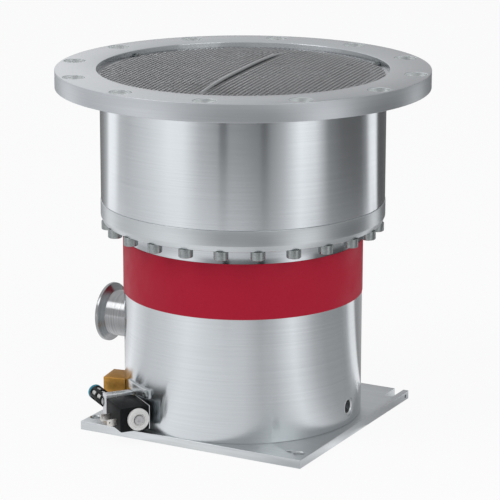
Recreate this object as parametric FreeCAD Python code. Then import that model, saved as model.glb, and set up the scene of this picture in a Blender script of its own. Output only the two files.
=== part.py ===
import FreeCAD, Part
import math
import os

Vector = FreeCAD.Vector
UP = Vector(0, 0, 1)
OUT = Vector(1, 0, 0)
ORIGIN = Vector(0, 0, 0)

# A turbomolecular pump with a DN 250 bolted inlet flange and a DN 40 clamp exhaust.
# Millimetres. The origin is on the pump axis at the underside of the base plate, +Z points out of the inlet,
# and the exhaust points along -X. Angles are in degrees from +X.

# Clearances, each named once and used wherever two pieces meet
fit_gap = 0.1            # radial clearance of a part that slides into a bore on assembly
running_gap = 0.7        # radial gap between the rotor and the fixed stages
magnet_gap = 0.4         # air gap of the magnets and of the motor
stage_gap = 1.5          # axial gap between a moving and a fixed blade row
loose_gap = 0.5          # gap between the valve plunger and its guide
cut_margin = 1.0         # how far a cutting body stands out of what it cuts

# Base plate
plate_side = 223.0
plate_shift_x = 3.7      # the square's centre from the pump axis
plate_shift_y = 2.5
plate_thickness = 8.0
mount_insets_x = (6.3, 9.7)  # of the mounting holes and slots, from the plate's left and right edges
mount_inset_y = 16.0     # of the front mounting holes, from the plate's front edge
slot_reach = 20.0        # from the plate's back edge to the inner centre of a slot
mount_hole_radius = 4.5
edge_tap_radius = 1.65
edge_tap_depth = 8.0
edge_tap_inset = 6.7     # from the plate's back edge
marker_tap_radius = 2.1
marker_tap_inset = 9.0   # towards the middle from a front mounting hole

# Heights
joint_ring_bottom = 187.0
joint_ring_height = 19.0
upper_height = 118.0     # from the joint to the inlet's face
flange_thickness = 16.0
joint_ring_top = joint_ring_bottom + joint_ring_height
inlet_height = joint_ring_top + upper_height

# Inlet flange, ISO-F pattern
flange_radius = 167.5
flange_edge = 12.5       # from the bolt circle out to the rim
bolt_land = 24.5         # from the recess out to the bolt circle
recess_depth = 6.2
bolt_count = 12
bolt_phase = 16.5
bolt_hole_radius = 5.5
bolt_mouth_radius = 10.0
bolt_mouth_depth = 5.0
bolt_circle_radius = flange_radius - flange_edge
recess_radius = bolt_circle_radius - bolt_land

# Joint screws, M8 cap heads that point down
screw_count = 24
screw_phase = 4.5
screw_edge = 6.8         # from the screws' circle out to the joint ring's rim
screw_head_radius = 6.5
screw_head_height = 8.0

# Housings, from the flange inwards
recess_overhang = 2.7    # how much narrower the upper housing is than the recess above it
joint_step = 0.4         # how far the joint ring stands out of the upper housing
upper_wall = 11.8
screw_room = 13.2        # from the lower housing's wall out to the screws' circle
lower_wall = 10.2
chamber_ledge = 6.0      # width of the ledge that carries the drag stator
ring_chamfer_width = 2.0
ring_chamfer_height = 5.0
chamber_floor = 20.0
chamber_roof = 102.0
upper_radius = recess_radius - recess_overhang
joint_ring_radius = upper_radius + joint_step
screw_circle_radius = joint_ring_radius - screw_edge
lower_radius = screw_circle_radius - screw_room
stack_radius = upper_radius - upper_wall
drag_bore_radius = lower_radius - lower_wall
chamber_radius = drag_bore_radius - chamber_ledge

# Inlet screen
screen_seat = inlet_height - recess_depth
screen_ring_width = 6.0
screen_ring_thickness = 0.8
screen_pitch = 14.0
screen_wire = 0.7
screen_rise = 2.2
bend_count = 3           # bends of a wire between the crown and the edge
screen_overlap = 2.0     # how far the cloth lies on its ring
rod_width = 2.2
rod_thickness = 1.4
rod_angle = 98.0
rod_overlap = 4.0        # how far the rod lies on the ring
clip_angles = (48.0, 168.0, 288.0)
clip_width = 7.0
clip_thickness = 1.8
clip_screw_radius = 1.6
clip_screw_height = 1.6

# Red band
band_drop = 15.4         # from the joint ring down to the band
band_height = 50.0
band_thickness = 0.4

# Exhaust port, KF 40, welded into a bore of the lower housing
exhaust_height = 79.0
exhaust_stand_out = 33.8 # from the housing's wall to the clamp flange's face
exhaust_plug = 9.2       # how far the stub goes into the wall
exhaust_bore = 20.0
exhaust_wall = 1.5
exhaust_lip = 7.5        # how far the clamp flange stands out of the bore
recess_lip = 0.6
exhaust_recess_depth = 2.6
exhaust_rim = 3.0
exhaust_cone = 4.0

# Side port, G 1/4
side_port_height = 24.0
side_port_radius = 5.9
side_port_depth = 14.0
side_port_wall = 2.0
side_port_face = 9.0
side_port_face_depth = 0.5

# Blade rows, from the inlet down
row_drop = 23.0          # from the inlet's face down to the first row
rotor_row_heights = (17.0, 14.0, 12.0)
rotor_pitch_angles = (42.0, 34.0, 26.0)
rotor_blade_counts = (20, 22, 22)
stator_row_heights = (12.0, 10.0)
stator_pitch_angles = (42.0, 30.0)
stator_blade_counts = (22, 22)
stack_wall = 4.0         # radial width of the stator discs' rims
blade_thickness = 2.0
blade_root = 1.5         # how far a blade reaches into what carries it
hub_bevel = 8.0
nose_rise = 3.0          # from the first row up to the rotor's nose
nose_thickness = 20.0
bell_wall = 14.0
boss_wall = 8.0
boss_depth = 14.0
drum_joint_drop = 3.0    # from the last row down to the drum

# Drag stage
sleeve_wall = 6.2        # drag stator's wall with the play round it
drum_wall = 3.0
drum_web = 5.0
drum_lift = 4.0          # from the exhaust chamber's roof up to the drum
groove_count = 6
groove_depth = 4.0
groove_span_angle = 22.0 # of one groove round the bore
groove_turn_angle = 45.0 # that a groove winds from bottom to top
groove_step_count = 2

# Spindle housing and what it carries
bell_gap = 4.0           # between the rotor's bell and the spindle housing
spindle_flange_width = 12.0
spindle_flange_thickness = 8.0
spindle_wall = 5.0
spindle_bottom = 10.0
spindle_clear = 8.0      # from the spindle housing up to the rotor's boss
spindle_roof = 8.0
touchdown_gap = 0.3      # between the shaft and the bearings that catch it when it stops
touchdown_width = 7.0
touchdown_height = 6.0
touchdown_rise = 1.0     # from the shaft's lower end up to the lower one
shaft_radius = 16.0
shaft_bottom = 24.0
shaft_relief = 2.0       # radial gap where the shaft passes through a wall
shaft_recess = 4.0       # from the rotor's nose down to the shaft's end
journal_wall = 6.0       # radial width of the sleeve on the shaft
journal_bottom = 76.0
thrust_disc_gap = 7.0    # radial gap round the thrust disc
thrust_disc_bottom = 46.0
thrust_disc_thickness = 8.0
thrust_magnet_height = 10.0
magnet_height = 28.0
magnet_width = 22.5      # radial width of the radial magnets and of the motor
motor_rise = 18.0        # from a radial magnet to the motor and from the motor to the next magnet
motor_height = 56.0
clamp_overlap = 6.0
clamp_thickness = 3.0
clamp_head_radius = 9.0
clamp_head_height = 5.0

# Bottom cover
cover_overlap = 11.0     # how far it reaches past the spindle's pilot
cover_thickness = 5.0
plate_opening_gap = 2.0

# Vent valve group. Its own axes: u along the coil axis away from the pump, v across it towards the pump.
valve_turn = -36.87
valve_gap = 0.8          # between the valve and the lower housing
coil_length = 35.0
coil_width = 27.0
coil_bottom = 12.0
coil_height = 22.0
coil_corner = 1.5
coil_axis_inset = 10.8   # from the coil's side next to the pump
coil_axis_rise = 11.2
valve_back = -6.0
valve_front = 2.0
valve_rise = 3.0         # how much taller the valve body is than the coil
nut_radius = 10.4
nut_thickness = 4.0
core_radius = 4.3
core_wall = 0.8
core_stand_out = 0.6
core_end_wall = 2.0
core_seat_depth = 3.0
plunger_length = 30.0
plunger_rest = 0.4       # from the seat to the closed plunger
plunger_travel = 1.5
plunger_wall = 0.9       # round the bore that takes the spring
plunger_bore_depth = 7.0
spring_wall = 0.5
terminal_width = 6.3
terminal_thickness = 0.8
terminal_length = 8.7
terminal_rise = 7.3      # from the coil's underside to the middle of a terminal
terminal_hole_radius = 0.8
terminal_hole_inset = 2.4
terminal_places = (8.0, 24.0)
muffler_inset = 22.6     # from the coil's side next to the pump
muffler_rise = 16.8
muffler_radius = 6.8
muffler_wall = 1.2
muffler_length = 31.0
muffler_cap_length = 5.0
window_count = 6
window_row_count = 2
window_width = 3.8
window_bar = 2.4         # solid length before, between and after the rows of windows
nipple_radius = 4.0
nipple_drop = 8.0        # from the coil's top to the nipple's axis
nipple_depth = 5.0       # how far the nipple goes into the valve body and into the wall

# Brass block, seated on the lower housing
brass_turn = 9.5
brass_angle = 213.14     # where its far corner stands, round the pump
brass_reach = 19.8       # from the housing's wall out to that corner
brass_width = 21.5
brass_depth = 26.0
brass_bottom = 14.0
brass_height = 25.0

# Bracket above the valve body, a bent strip on the lower housing
bracket_thickness = 1.5
bracket_height = 9.0
bracket_gap = 0.2        # from the valve body up to the strip
bracket_from = 222.0
bracket_to = 249.0
bracket_screw_angle = 246.0
bracket_screw_head = 3.4
bracket_screw_head_height = 3.0

# Electrical connector at the back
connector_angle = 100.0
connector_height = 62.0
connector_flange_side = 40.0
connector_flange_thickness = 3.0
connector_shell_radius = 16.0
connector_shell_wall = 1.6
connector_length = 16.0
connector_floor = 2.0
connector_plug = 9.0     # how far the shell goes into the wall

# Sizes that follow from the ones above
stack_outer = stack_radius - fit_gap
blade_radius = stack_radius - stack_wall
tip_radius = blade_radius - running_gap
journal_radius = shaft_radius + journal_wall
magnet_inner = journal_radius + magnet_gap
touchdown_inner = shaft_radius + touchdown_gap
touchdown_outer = touchdown_inner + touchdown_width
touchdown_bottom = shaft_bottom + touchdown_rise
magnet_outer = magnet_inner + magnet_width
spindle_bore = magnet_outer + fit_gap
spindle_radius = spindle_bore + spindle_wall
bell_radius = spindle_radius + bell_gap
hub_radius = bell_radius + bell_wall
stator_inner = hub_radius + running_gap
drum_radius = drag_bore_radius - sleeve_wall - running_gap - fit_gap
drum_bottom = chamber_roof + drum_lift
row_top = inlet_height - row_drop
nose_height = row_top + nose_rise
bell_roof = nose_height - nose_thickness
spindle_top = bell_roof - boss_depth - spindle_clear
thrust_disc_radius = spindle_bore - thrust_disc_gap
motor_bottom = journal_bottom + magnet_height + motor_rise
upper_magnet_bottom = motor_bottom + motor_height + motor_rise
cover_radius = spindle_bore + cover_overlap
exhaust_tube = exhaust_bore + exhaust_wall
exhaust_flange = exhaust_bore + exhaust_lip
exhaust_recess = exhaust_bore + recess_lip
exhaust_reach = lower_radius + exhaust_stand_out
exhaust_seat = lower_radius - exhaust_plug
coil_front = valve_front + coil_length
coil_right = -lower_radius - valve_gap
coil_left = coil_right - coil_width
coil_top = coil_bottom + coil_height
valve_top = coil_top + valve_rise
coil_axis_v = coil_right - coil_axis_inset
coil_axis_z = coil_bottom + coil_axis_rise
muffler_v = coil_right - muffler_inset
muffler_z = coil_bottom + muffler_rise
core_start = valve_front - core_seat_depth
core_end = coil_front + nut_thickness + core_stand_out
core_bore = core_radius - core_wall
plunger_radius = core_bore - loose_gap
plunger_start = core_start + plunger_rest
plunger_end = plunger_start + plunger_length
plunger_bore = plunger_radius - plunger_wall
spring_radius = plunger_bore - loose_gap
spring_start = plunger_end - plunger_bore_depth + plunger_travel + fit_gap


def turned(*corners):
    """A solid of revolution about the pump axis from (radius, height) corners."""
    points = [Vector(radius, 0, height) for radius, height in corners]
    return Part.Face(Part.makePolygon(points + points[:1])).revolve(ORIGIN, UP, 360)


def ring(inner, outer, bottom, top):
    return turned((inner, bottom), (outer, bottom), (outer, top), (inner, top))


def rod(radius, start, direction, length):
    return Part.makeCylinder(radius, length, start, direction)


def box(x0, x1, y0, y1, z0, z1):
    return Part.makeBox(x1 - x0, y1 - y0, z1 - z0, Vector(x0, y0, z0))


def at_angle(shape, degrees):
    copy = shape.copy()
    copy.rotate(ORIGIN, UP, degrees)
    return copy


def around(shape, count, phase=0.0):
    """Copies of a shape evenly round the pump axis."""
    return [at_angle(shape, phase + 360.0 * k / count) for k in range(count)]


def on_circle(radius, degrees, height):
    angle = math.radians(degrees)
    return Vector(radius * math.cos(angle), radius * math.sin(angle), height)


def save(name, shape):
    os.makedirs("parts", exist_ok=True)
    shape.exportStep("parts/" + name + ".step")


def row_levels():
    """Bottom and top of each rotor row and of each stator row, from the inlet down."""
    rotors, stators, level = [], [], row_top
    for index, height in enumerate(rotor_row_heights):
        rotors.append((level - height, level))
        level -= height + stage_gap
        if index < len(stator_row_heights):
            stators.append((level - stator_row_heights[index], level))
            level -= stator_row_heights[index] + stage_gap
    return rotors, stators


rotor_levels, stator_levels = row_levels()
drum_joint = rotor_levels[-1][0] - drum_joint_drop


def base_plate():
    half = plate_side / 2
    plate = box(plate_shift_x - half, plate_shift_x + half, plate_shift_y - half, plate_shift_y + half,
                0, plate_thickness)
    back_edge = plate_shift_y + half
    front_y = plate_shift_y - half + mount_inset_y
    back_y = back_edge - slot_reach
    cuts = [rod(cover_radius + plate_opening_gap, ORIGIN, UP, plate_thickness)]
    for side, inset in zip((-1, 1), mount_insets_x):
        x = plate_shift_x + side * (half - inset)
        marker = Vector(x - side * marker_tap_inset, front_y, 0)
        cuts.append(rod(mount_hole_radius, Vector(x, front_y, 0), UP, plate_thickness))
        cuts.append(rod(marker_tap_radius, marker, UP, plate_thickness))
        slot = box(x - mount_hole_radius, x + mount_hole_radius, back_y, back_edge, 0, plate_thickness)
        cuts.append(slot.fuse(rod(mount_hole_radius, Vector(x, back_y, 0), UP, plate_thickness)))
    edge = Vector(plate_shift_x + half, back_edge - edge_tap_inset, plate_thickness / 2)
    cuts.append(rod(edge_tap_radius, edge, -OUT, edge_tap_depth))
    return plate.cut(cuts)


def bottom_cover():
    """Disc that closes the spindle from below, level with the top of the base plate."""
    bottom = plate_thickness - cover_thickness
    return rod(cover_radius, Vector(0, 0, bottom), UP, cover_thickness)


def lower_housing():
    pilot = spindle_bore
    body = turned(
        (pilot, plate_thickness), (lower_radius, plate_thickness), (lower_radius, joint_ring_bottom),
        (joint_ring_radius - ring_chamfer_width, joint_ring_bottom),
        (joint_ring_radius, joint_ring_bottom + ring_chamfer_height), (joint_ring_radius, joint_ring_top),
        (drag_bore_radius, joint_ring_top), (drag_bore_radius, chamber_roof), (chamber_radius, chamber_roof),
        (chamber_radius, chamber_floor), (pilot, chamber_floor))
    port = rod(exhaust_tube, Vector(-exhaust_reach, 0, exhaust_height), OUT, exhaust_reach - chamber_radius / 2)
    tap = side_port_rod(side_port_radius + side_port_wall)
    face = rod(side_port_face, Vector(lower_radius - side_port_face_depth, 0, side_port_height), OUT,
               side_port_face_depth + cut_margin)
    return body.cut([port, tap, face, connector_bore(), vent_nipple(fit_gap)])


def side_port_rod(radius):
    start = Vector(lower_radius - side_port_depth, 0, side_port_height)
    return rod(radius, start, OUT, side_port_depth - side_port_face_depth)


def side_port_bushing():
    """Threaded bushing in the lower housing, drawn with a plain bore."""
    return side_port_rod(side_port_radius + side_port_wall).cut(side_port_rod(side_port_radius))


def upper_housing():
    """Inlet housing with its flange, in one piece."""
    underside = inlet_height - flange_thickness
    shoulder = stator_levels[0][1]
    body = turned(
        (stack_radius, joint_ring_top), (upper_radius, joint_ring_top), (upper_radius, underside),
        (flange_radius, underside), (flange_radius, inlet_height), (recess_radius, inlet_height),
        (recess_radius, screen_seat), (blade_radius, screen_seat), (blade_radius, shoulder),
        (stack_radius, shoulder))
    hole = rod(bolt_hole_radius, Vector(bolt_circle_radius, 0, underside), UP, flange_thickness)
    mouth = rod(bolt_mouth_radius, Vector(bolt_circle_radius, 0, inlet_height - bolt_mouth_depth), UP,
                bolt_mouth_depth)
    return body.cut(around(hole.fuse(mouth), bolt_count, bolt_phase))


def joint_screws():
    """Heads of the cap screws under the joint ring."""
    head = rod(screw_head_radius, Vector(screw_circle_radius, 0, joint_ring_bottom - screw_head_height), UP,
               screw_head_height)
    return Part.makeCompound(around(head, screw_count, screw_phase))


def label_band():
    top = joint_ring_bottom - band_drop
    return ring(lower_radius, lower_radius + band_thickness, top - band_height, top)


def screen_drop(distance):
    """Drop of the cloth from its crown along one direction: a parabola in straight stretches."""
    knots = abs(distance) * bend_count / recess_radius
    whole = int(knots)
    return screen_rise * (whole ** 2 + (knots - whole) * (2 * whole + 1)) / bend_count ** 2


def domed_strip(offset, half_length, base, width, thickness):
    """A strip along X at y = offset that follows the dome, with one bend at each knot."""
    step = recess_radius / bend_count
    inner = [k * step for k in range(-bend_count, bend_count + 1) if abs(k * step) < half_length]
    places = [-half_length] + inner + [half_length]
    heights = [max(base, base + screen_rise - screen_drop(x) - screen_drop(offset)) for x in places]
    low = [Vector(x, offset - width / 2, z) for x, z in zip(places, heights)]
    high = [point + Vector(0, 0, thickness) for point in reversed(low)]
    return Part.Face(Part.makePolygon(low + high + low[:1])).extrude(Vector(0, width, 0))


def inlet_screen():
    """Wire cloth in two crossed layers, each wire its own solid."""
    edge = recess_radius - screen_ring_width + screen_overlap
    base = screen_seat + screen_ring_thickness
    steps = int((edge - screen_wire) / screen_pitch)
    wires = []
    for k in range(-steps, steps + 1):
        offset = k * screen_pitch
        half = math.sqrt(edge ** 2 - (abs(offset) + screen_wire / 2) ** 2)
        wires.append(domed_strip(offset, half, base, screen_wire, screen_wire))
        wires.append(at_angle(domed_strip(offset, half, base + screen_wire, screen_wire, screen_wire), 90))
    return Part.makeCompound([at_angle(wire, rod_angle - 45) for wire in wires])


def screen_ring():
    return ring(recess_radius - screen_ring_width, recess_radius - fit_gap, screen_seat,
                screen_seat + screen_ring_thickness)


def screen_rod():
    """Bar bent over the screen along one diameter, turned down to the ring at its ends."""
    half = recess_radius - screen_ring_width + rod_overlap
    base = screen_seat + screen_ring_thickness
    clear = 2 * screen_wire + fit_gap
    bar = domed_strip(0, half, base + clear, rod_width, rod_thickness)
    inner = half - rod_overlap + screen_overlap + fit_gap
    foot = box(inner, half, -rod_width / 2, rod_width / 2, base, base + clear + rod_thickness)
    return at_angle(bar.fuse(around(foot, 2)), rod_angle)


def screen_clips():
    """Clamping lugs on the screen ring, each held by a screw."""
    base = screen_seat + screen_ring_thickness
    inner = recess_radius - screen_ring_width + screen_overlap + fit_gap
    outer = recess_radius - loose_gap
    lug = box(inner, outer, -clip_width / 2, clip_width / 2, base, base + clip_thickness)
    middle = Vector((inner + outer) / 2, 0, base + clip_thickness)
    head = rod(clip_screw_radius, middle, UP, clip_screw_height)
    return Part.makeCompound([at_angle(lug.fuse(head), angle) for angle in clip_angles])


def exhaust_port():
    """Stub tube with a clamp flange: parallel rim, then the standard cone."""
    face = exhaust_reach
    stub = turned(
        (exhaust_bore, exhaust_seat), (exhaust_tube, exhaust_seat),
        (exhaust_tube, face - exhaust_rim - exhaust_cone), (exhaust_flange, face - exhaust_rim),
        (exhaust_flange, face), (exhaust_recess, face), (exhaust_recess, face - exhaust_recess_depth),
        (exhaust_bore, face - exhaust_recess_depth))
    stub.rotate(ORIGIN, Vector(0, 1, 0), -90)
    stub.translate(Vector(0, 0, exhaust_height))
    return stub


def blade(inner, outer, bottom, top, pitch):
    """One flat blade along +X: a slanted slab between two levels, its tip inside the outer radius."""
    lean = (top - bottom) / math.tan(math.radians(pitch))
    breadth = blade_thickness / math.sin(math.radians(pitch))
    half = (abs(lean) + breadth) / 2
    corners = ((-half, bottom), (-half + breadth, bottom), (half, top), (half - breadth, top))
    turn = 1 if lean > 0 else -1
    points = [Vector(inner, turn * y, z) for y, z in corners]
    reach = math.sqrt(outer ** 2 - half ** 2)
    return Part.Face(Part.makePolygon(points + points[:1])).extrude(Vector(reach - inner, 0, 0))


def stator_disc(index):
    """Fixed blade row with a tall rim that also spaces it from the row above."""
    bottom, top = stator_levels[index]
    last = index == len(stator_row_heights) - 1
    foot = joint_ring_top if last else bottom
    crown = stator_levels[index - 1][0] if index else top
    rim = ring(blade_radius, stack_outer, foot, crown)
    leaf = blade(stator_inner, blade_radius + blade_root, bottom, top, -stator_pitch_angles[index])
    return rim.fuse(around(leaf, stator_blade_counts[index]))


def drag_stator():
    """Sleeve of the drag stage with wide grooves that wind up its bore."""
    inner = drum_radius + running_gap
    sleeve = ring(inner, drag_bore_radius - fit_gap, chamber_roof, joint_ring_top)
    height = joint_ring_top - chamber_roof
    sections = []
    for step in range(groove_step_count + 1):
        share = step / groove_step_count
        level = chamber_roof - cut_margin + share * (height + 2 * cut_margin)
        start = share * groove_turn_angle
        end = start + groove_span_angle
        near, far = inner - groove_depth, inner + groove_depth
        corners = [on_circle(near, start, level), on_circle(far, start, level),
                   on_circle(far, end, level), on_circle(near, end, level)]
        sections.append(Part.makePolygon(corners + corners[:1]))
    groove = Part.makeLoft(sections, True, True)
    return sleeve.cut(around(groove, groove_count))


def turbine_rotor():
    """Bell-shaped rotor in one piece with its blade rows."""
    boss_radius = shaft_radius + boss_wall
    hub = turned(
        (shaft_radius, bell_roof - boss_depth), (boss_radius, bell_roof - boss_depth), (boss_radius, bell_roof),
        (bell_radius, bell_roof), (bell_radius, drum_joint), (hub_radius, drum_joint),
        (hub_radius, nose_height - hub_bevel / 2), (hub_radius - hub_bevel, nose_height),
        (shaft_radius, nose_height))
    blades = []
    for (low, high), pitch, count in zip(rotor_levels, rotor_pitch_angles, rotor_blade_counts):
        top = min(high, nose_height - hub_bevel / 2)
        blades += around(blade(hub_radius - blade_root, tip_radius, low, top, pitch), count)
    return hub.fuse(blades)


def drag_drum():
    """Drum of the drag stage, hung from the foot of the rotor."""
    inside = drum_radius - drum_wall
    return turned(
        (inside, drum_bottom), (drum_radius, drum_bottom), (drum_radius, drum_joint), (bell_radius, drum_joint),
        (bell_radius, drum_joint - drum_web), (inside, drum_joint - drum_web))


def rotor_shaft():
    """Shaft with the thrust disc and one long journal for the bearings and the motor."""
    disc_top = thrust_disc_bottom + thrust_disc_thickness
    journal_top = upper_magnet_bottom + magnet_height
    end = nose_height - shaft_recess
    return turned(
        (0, shaft_bottom), (shaft_radius, shaft_bottom), (shaft_radius, thrust_disc_bottom),
        (thrust_disc_radius, thrust_disc_bottom), (thrust_disc_radius, disc_top), (shaft_radius, disc_top),
        (shaft_radius, journal_bottom), (journal_radius, journal_bottom), (journal_radius, journal_top),
        (shaft_radius, journal_top), (shaft_radius, end), (0, end))


def rotor_clamp_screw():
    """Screw with a wide collar that clamps the rotor on the end of its shaft."""
    collar_top = nose_height + clamp_thickness
    head_top = collar_top + clamp_head_height
    end = nose_height - shaft_recess
    return turned(
        (0, end), (shaft_radius - fit_gap, end), (shaft_radius - fit_gap, nose_height),
        (shaft_radius + clamp_overlap, nose_height), (shaft_radius + clamp_overlap, collar_top),
        (clamp_head_radius, collar_top),
        (clamp_head_radius, head_top), (0, head_top))


def spindle_housing():
    """Fixed housing of the bearings and the motor, standing on the chamber's floor inside the rotor."""
    neck = shaft_radius + shaft_relief
    inner_floor = thrust_disc_bottom - magnet_gap - thrust_magnet_height
    flange_top = chamber_floor + spindle_flange_thickness
    flange = spindle_radius + spindle_flange_width
    roof = spindle_top - spindle_roof
    return turned(
        (touchdown_outer, spindle_bottom), (magnet_outer, spindle_bottom), (magnet_outer, chamber_floor),
        (flange, chamber_floor), (flange, flange_top), (spindle_radius, flange_top),
        (spindle_radius, spindle_top), (neck, spindle_top), (neck, roof + touchdown_height),
        (touchdown_outer, roof + touchdown_height), (touchdown_outer, roof),
        (spindle_bore, roof), (spindle_bore, inner_floor), (neck, inner_floor),
        (neck, touchdown_bottom + touchdown_height), (touchdown_outer, touchdown_bottom + touchdown_height))


def touchdown_bearings():
    rings = [ring(touchdown_inner, touchdown_outer, bottom, bottom + touchdown_height)
             for bottom in (touchdown_bottom, spindle_top - spindle_roof)]
    return Part.makeCompound(rings)


def radial_magnets():
    rings = [ring(magnet_inner, magnet_outer, bottom, bottom + magnet_height)
             for bottom in (journal_bottom, upper_magnet_bottom)]
    return Part.makeCompound(rings)


def thrust_magnets():
    inner = shaft_radius + shaft_relief
    below = thrust_disc_bottom - magnet_gap
    above = thrust_disc_bottom + thrust_disc_thickness + magnet_gap
    return Part.makeCompound([ring(inner, magnet_outer, below - thrust_magnet_height, below),
                              ring(inner, magnet_outer, above, above + thrust_magnet_height)])


def motor_stator():
    return ring(magnet_inner, magnet_outer, motor_bottom, motor_bottom + motor_height)


def valve_place(shape):
    """From the valve's own u, v, z axes to the pump's."""
    return at_angle(shape, valve_turn)


def coil_axis(radius, start, end):
    """A round bar on the coil's axis between two places u."""
    return rod(radius, Vector(start, coil_axis_v, coil_axis_z), OUT, end - start)


def valve_body():
    """Metal block of the vent valve with the seat bore of the core tube."""
    block = box(valve_back, valve_front, coil_left, coil_right, coil_bottom, valve_top)
    seated = valve_place(block.cut(coil_axis(core_radius + fit_gap, core_start, valve_front)))
    return seated.cut(vent_nipple(fit_gap))


def core_tube():
    """Closed tube through the coil, in which the plunger slides."""
    outer = coil_axis(core_radius, core_start, core_end)
    return valve_place(outer.cut(coil_axis(core_bore, core_start, core_end - core_end_wall)))


def valve_coil():
    block = box(valve_front, coil_front, coil_left, coil_right, coil_bottom, coil_top)
    long_edges = [edge for edge in block.Edges if abs(edge.tangentAt(edge.FirstParameter).x) > 0.5]
    rounded = block.makeFillet(coil_corner, long_edges)
    return valve_place(rounded.cut(coil_axis(core_radius + fit_gap, valve_front, coil_front)))


def valve_nut():
    end = coil_front + nut_thickness
    disc = coil_axis(nut_radius, coil_front, end)
    return valve_place(disc.cut(coil_axis(core_radius + fit_gap, coil_front, end)))


def valve_plunger():
    """Plunger with a bore in its far end for the return spring."""
    bar = coil_axis(plunger_radius, plunger_start, plunger_end)
    return valve_place(bar.cut(coil_axis(plunger_bore, plunger_end - plunger_bore_depth, plunger_end)))


def valve_spring():
    """Envelope of the return spring as it is with the valve open, from the tube's end into the plunger."""
    end = core_end - core_end_wall
    outer = coil_axis(spring_radius, spring_start, end)
    return valve_place(outer.cut(coil_axis(spring_radius - spring_wall, spring_start, end)))


def coil_terminals():
    """Flat blades with a hole, out of the coil's side."""
    half = terminal_width / 2
    middle = coil_bottom + terminal_rise
    tip = coil_left - terminal_length
    blades = []
    for place in terminal_places:
        start = valve_front + place
        tab = box(start, start + terminal_thickness, tip, coil_left, middle - half, middle + half)
        hole = rod(terminal_hole_radius, Vector(start, tip + terminal_hole_inset, middle), OUT, terminal_thickness)
        blades.append(tab.cut(hole))
    return valve_place(Part.makeCompound(blades))


def muffler_bar(radius, start, end):
    """A round bar on the muffler's axis, from start to end behind the valve body."""
    return rod(radius, Vector(valve_back - start, muffler_v, muffler_z), -OUT, end - start)


def muffler_cage():
    """Cage with two rows of windows."""
    length = muffler_length - muffler_cap_length
    bore = muffler_radius - muffler_wall
    cage = muffler_bar(muffler_radius, 0, length).cut(muffler_bar(bore, 0, length))
    window_length = (length - (window_row_count + 1) * window_bar) / window_row_count
    middle = bore * math.cos(math.asin(window_width / 2 / bore))
    cuts = []
    for row in range(window_row_count):
        start = valve_back - window_bar - row * (window_length + window_bar)
        for k in range(window_count):
            window = box(start - window_length, start, -window_width / 2, window_width / 2,
                         middle - cut_margin, muffler_radius + cut_margin)
            window.rotate(ORIGIN, OUT, 360.0 * k / window_count)
            window.translate(Vector(0, muffler_v, muffler_z))
            cuts.append(window)
    return valve_place(cage.cut(cuts))


def muffler_element():
    bore = muffler_radius - muffler_wall - fit_gap
    return valve_place(muffler_bar(bore, 0, muffler_length - muffler_cap_length))


def muffler_cap():
    return valve_place(muffler_bar(muffler_radius, muffler_length - muffler_cap_length, muffler_length))


def vent_nipple(clearance=0.0):
    """Nipple from the valve body into the lower housing's wall, or with a clearance the bore for it."""
    start = Vector((valve_back + valve_front) / 2, coil_right - nipple_depth, coil_top - nipple_drop)
    length = nipple_depth + valve_gap + nipple_depth
    return valve_place(rod(nipple_radius + clearance, start, Vector(0, 1, 0), length + clearance))


def brass_block():
    block = box(0, brass_width, 0, brass_depth, brass_bottom, brass_bottom + brass_height)
    block.rotate(ORIGIN, UP, brass_turn)
    block.translate(on_circle(lower_radius + brass_reach, brass_angle, 0))
    return block.cut(rod(lower_radius, ORIGIN, UP, joint_ring_bottom))


def valve_bracket():
    """Bent strip that hugs the lower housing just above the valve body."""
    low = valve_top + bracket_gap
    corners = ((lower_radius, low), (lower_radius + bracket_thickness, low),
               (lower_radius + bracket_thickness, low + bracket_height), (lower_radius, low + bracket_height))
    points = [Vector(radius, 0, height) for radius, height in corners]
    strip = Part.Face(Part.makePolygon(points + points[:1])).revolve(ORIGIN, UP, bracket_to - bracket_from)
    return at_angle(strip, bracket_from)


def bracket_screw():
    face = Vector(lower_radius + bracket_thickness, 0, valve_top + bracket_gap + bracket_height / 2)
    return at_angle(rod(bracket_screw_head, face, OUT, bracket_screw_head_height), bracket_screw_angle)


def connector_bore():
    bore = rod(connector_shell_radius + fit_gap, Vector(lower_radius - connector_plug - fit_gap, 0, connector_height),
               OUT, connector_plug + connector_length)
    return at_angle(bore, connector_angle)


def electrical_connector():
    """Round socket on a square flange whose back follows the housing."""
    half = connector_flange_side / 2
    back = math.sqrt(lower_radius ** 2 - half ** 2)
    face = lower_radius + connector_flange_thickness
    flange = box(back, face, -half, half, connector_height - half, connector_height + half)
    flange = flange.cut(rod(lower_radius, ORIGIN, UP, joint_ring_bottom))
    shell = rod(connector_shell_radius, Vector(lower_radius - connector_plug, 0, connector_height), OUT,
                connector_plug + connector_length)
    hollow = rod(connector_shell_radius - connector_shell_wall, Vector(face - connector_floor, 0, connector_height),
                 OUT, connector_length)
    return at_angle(flange.fuse(shell).cut(hollow), connector_angle)


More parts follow.
